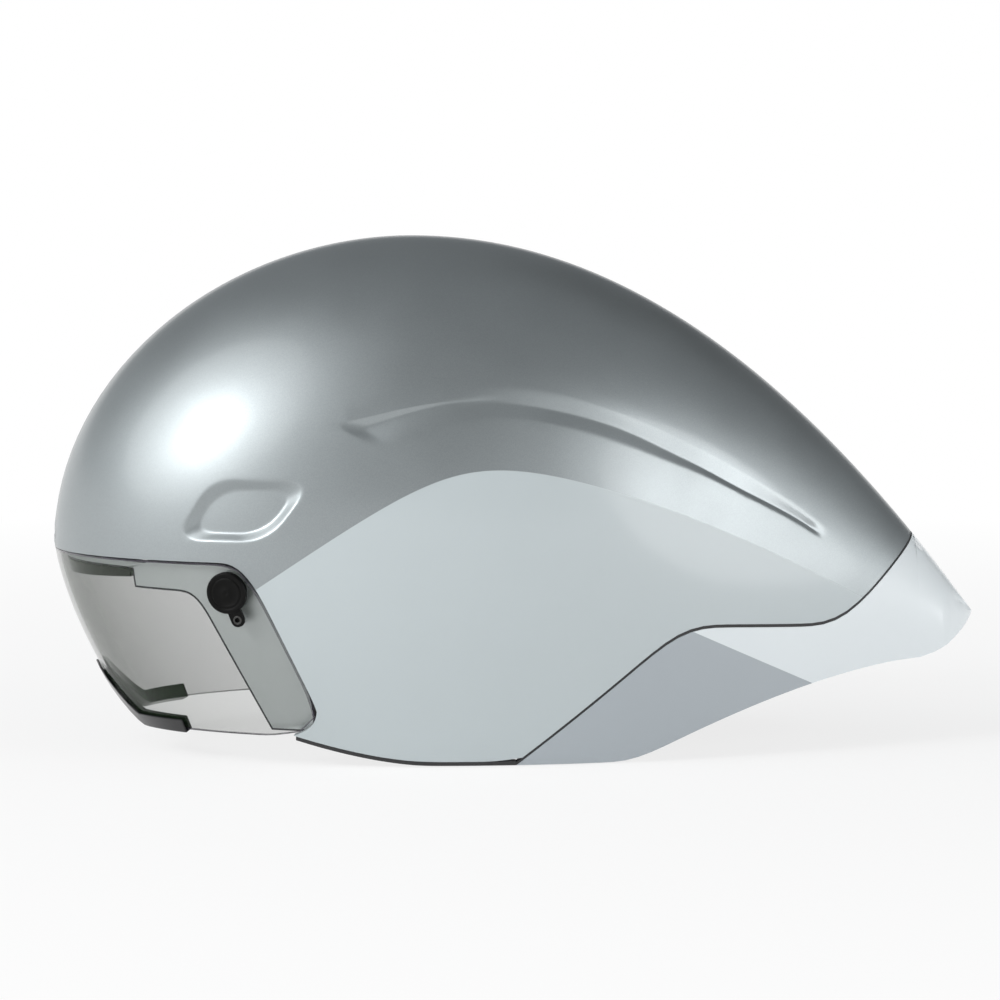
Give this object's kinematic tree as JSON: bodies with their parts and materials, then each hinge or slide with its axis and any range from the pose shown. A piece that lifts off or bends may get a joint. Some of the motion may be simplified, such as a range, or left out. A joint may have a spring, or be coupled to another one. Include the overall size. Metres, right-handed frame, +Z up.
{
  "type": "time trial cycling helmet",
  "caption": "Teardrop time-trial cycling helmet: two-part shell, magnetic wrap-round lens, foam liner, dial-adjusted head cradle and a buckled strap stowed inside.",
  "frame": {"origin": "centre of the bounding box, on the plane that the helmet stands on", "axes": "+X to the tail, +Y to the rider's right, +Z up"},
  "size_m": [0.3759, 0.204, 0.205],
  "materials": {
    "shell_silver": "metallic silver lacquer over a moulded shell, paler low on the sides",
    "shell_pale": "satin lacquer in two tones",
    "seam_rubber": "matt",
    "trim_rubber": "matt",
    "seat_silver": "satin silver",
    "gloss_black": "glossy",
    "lens_smoke": "clear, lightly smoked polycarbonate",
    "nose_rubber": "smooth, slightly glossy",
    "knob_black": "satin",
    "magnet_steel": "nickel plated",
    "keeper_steel": "plain",
    "liner_foam": "moulded bead foam",
    "padding": "brushed knit over soft foam",
    "cradle_nylon": "moulded, fine grain",
    "gear_nylon": "moulded",
    "dial_black": "soft-touch",
    "webbing": "woven",
    "fitting_black": "satin"
  },
  "bodies": {
    "helmet": {"outer_shell": "shell_silver", "tail_shell": "shell_pale", "seam_gasket": "seam_rubber", "lower_trim_left": "trim_rubber", "lower_trim_right": "trim_rubber", "visor_seat": "seat_silver", "brow_gasket": "gloss_black", "keeper_left": "keeper_steel", "keeper_right": "keeper_steel", "front_liner": "liner_foam", "tail_liner": "liner_foam", "forehead_pad": "padding", "crown_pad": "padding", "side_pad_left": "padding", "side_pad_right": "padding", "rear_pad_left": "padding", "rear_pad_right": "padding", "height_rail": "cradle_nylon", "rail_anchor": "cradle_nylon", "side_arm_left": "cradle_nylon", "side_arm_right": "cradle_nylon", "strap_anchors": "fitting_black", "front_strap_left": "webbing", "front_strap_right": "webbing", "rear_strap_left": "webbing", "rear_strap_right": "webbing", "divider_left": "fitting_black", "divider_right": "fitting_black", "chin_strap_left": "webbing", "chin_strap_right": "webbing", "buckle_socket": "fitting_black", "socket_loop": "webbing", "strap_keeper": "fitting_black"},
    "visor": {"visor_lens": "lens_smoke", "nose_trim": "nose_rubber"},
    "left_knob": {"knob_left": "knob_black", "knob_magnet_left": "magnet_steel"},
    "right_knob": {"knob_right": "knob_black", "knob_magnet_right": "magnet_steel"},
    "cradle": {"case_front": "cradle_nylon", "case_back": "cradle_nylon"},
    "left_band": {"rack_left": "gear_nylon", "wing_left": "cradle_nylon", "wing_pad_left": "padding"},
    "right_band": {"rack_right": "gear_nylon", "wing_right": "cradle_nylon", "wing_pad_right": "padding"},
    "dial_unit": {"dial": "dial_black", "pinion": "gear_nylon"},
    "plug": {"buckle_plug": "fitting_black", "plug_loop": "webbing"}
  },
  "joints": [
    {"name": "visor_pull", "type": "slide", "parent": "helmet", "child": "visor", "axis": [-1, 0, 0], "range_m": [0, 0.12]},
    {"name": "left_knob_turn", "type": "hinge", "parent": "visor", "child": "left_knob", "pos_m": [-0.1196, -0.08586, 0.0685], "axis": [0.3892, 0.9156, 0.101], "range_deg": [0, 90]},
    {"name": "right_knob_turn", "type": "hinge", "parent": "visor", "child": "right_knob", "pos_m": [-0.1196, 0.08586, 0.0685], "axis": [-0.3892, 0.9156, -0.101], "range_deg": [0, 90]},
    {"name": "cradle_height", "type": "slide", "parent": "helmet", "child": "cradle", "axis": [0, 0, 1], "range_m": [0, 0.01]},
    {"name": "left_band_draw", "type": "slide", "parent": "cradle", "child": "left_band", "axis": [0, 1, 0], "range_m": [0, 0.008]},
    {"name": "right_band_draw", "type": "slide", "parent": "cradle", "child": "right_band", "axis": [0, -1, 0], "range_m": [0, 0.008]},
    {"name": "dial_turn", "type": "hinge", "parent": "cradle", "child": "dial_unit", "pos_m": [0.033, 0, 0.034], "axis": [-1, 0, 0], "range_deg": [0, 92]},
    {"name": "buckle_release", "type": "slide", "parent": "helmet", "child": "plug", "axis": [0, 1, 0], "range_m": [0, 0.012]}
  ],
  "couplings": [
    {"joint": "right_band_draw", "follows": "left_band_draw", "ratio": 1},
    {"joint": "dial_turn", "follows": "left_band_draw", "rad_per_m": 200}
  ]
}
